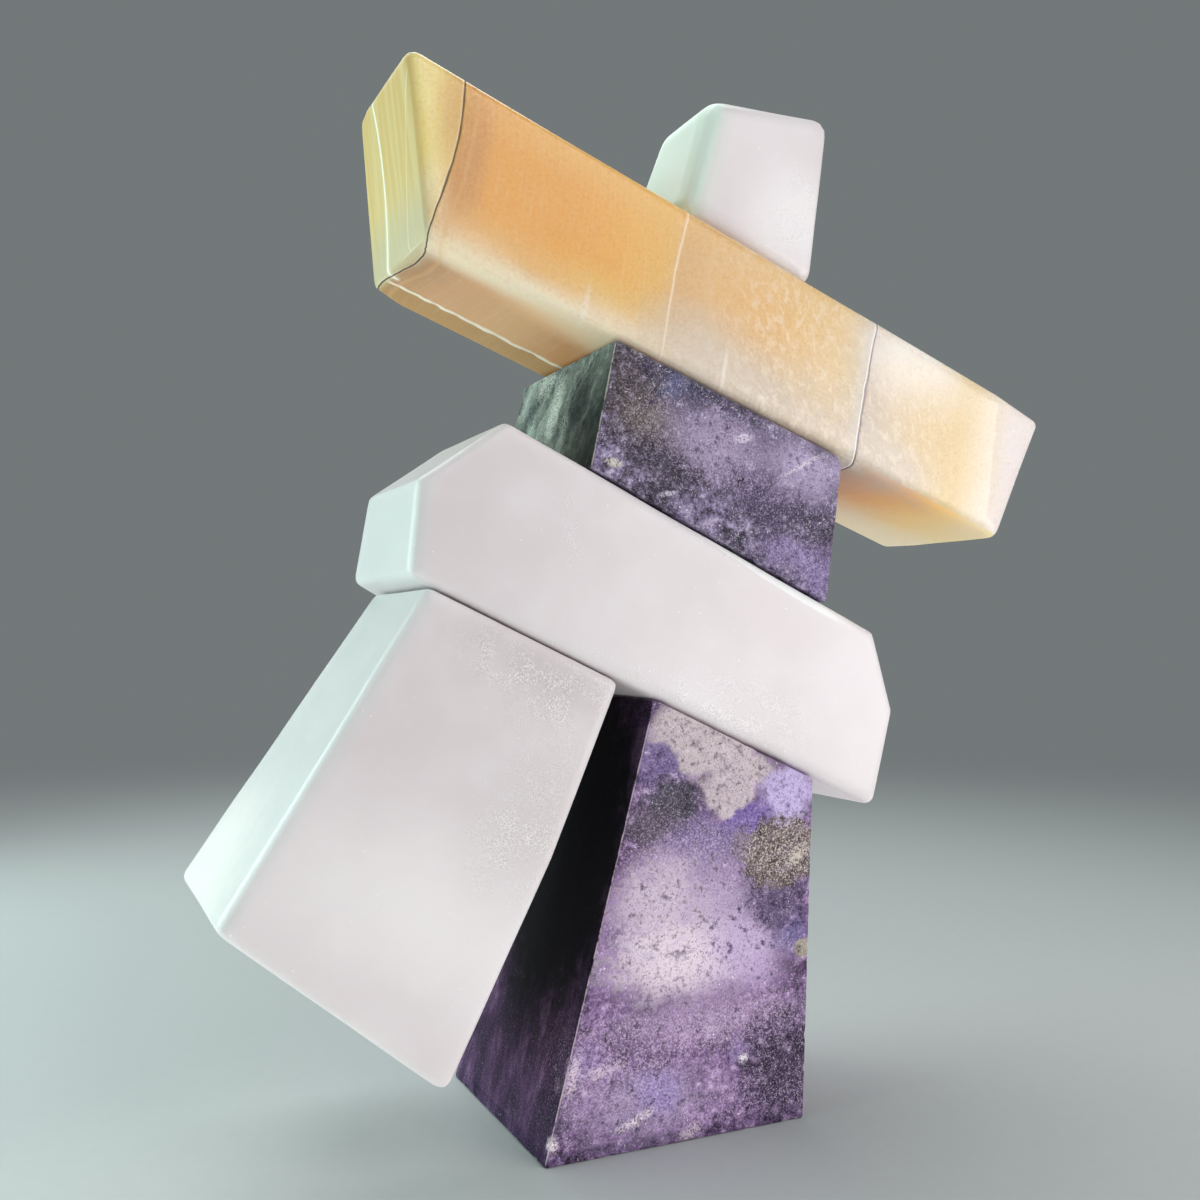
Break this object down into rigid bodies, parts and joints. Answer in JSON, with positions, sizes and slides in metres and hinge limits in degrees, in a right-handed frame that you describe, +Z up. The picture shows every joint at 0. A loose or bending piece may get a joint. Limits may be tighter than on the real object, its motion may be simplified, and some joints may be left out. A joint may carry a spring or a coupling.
{
  "type": "inuit inukshuk sculpture",
  "caption": "Stacked stone figure that stands on one leg, with a raised leg hanging from a sloping hip beam, a torso, a sloping arm beam and a small head.",
  "frame": {"origin": "centre of the standing leg's underside, on the surface that the figure stands on", "axes": "+Z up, the flat fronts of all the stones look towards -Y, and the beams fall towards +X"},
  "size_m": [0.3419, 0.1028, 0.3917],
  "materials": {
    "purple_lepidolite": "honed violet stone with lilac clouds, dark bands and pale mica flecks",
    "white_alabaster": "polished translucent white stone with fine sugary sparkle",
    "banded_calcite": "glossy orange and honey banded stone with healed seams"
  },
  "bodies": {
    "root": {"standing_leg": "purple_lepidolite", "raised_leg": "white_alabaster", "hip_beam": "white_alabaster", "torso": "purple_lepidolite", "arm_beam": "banded_calcite", "head": "white_alabaster"}
  },
  "joints": []
}
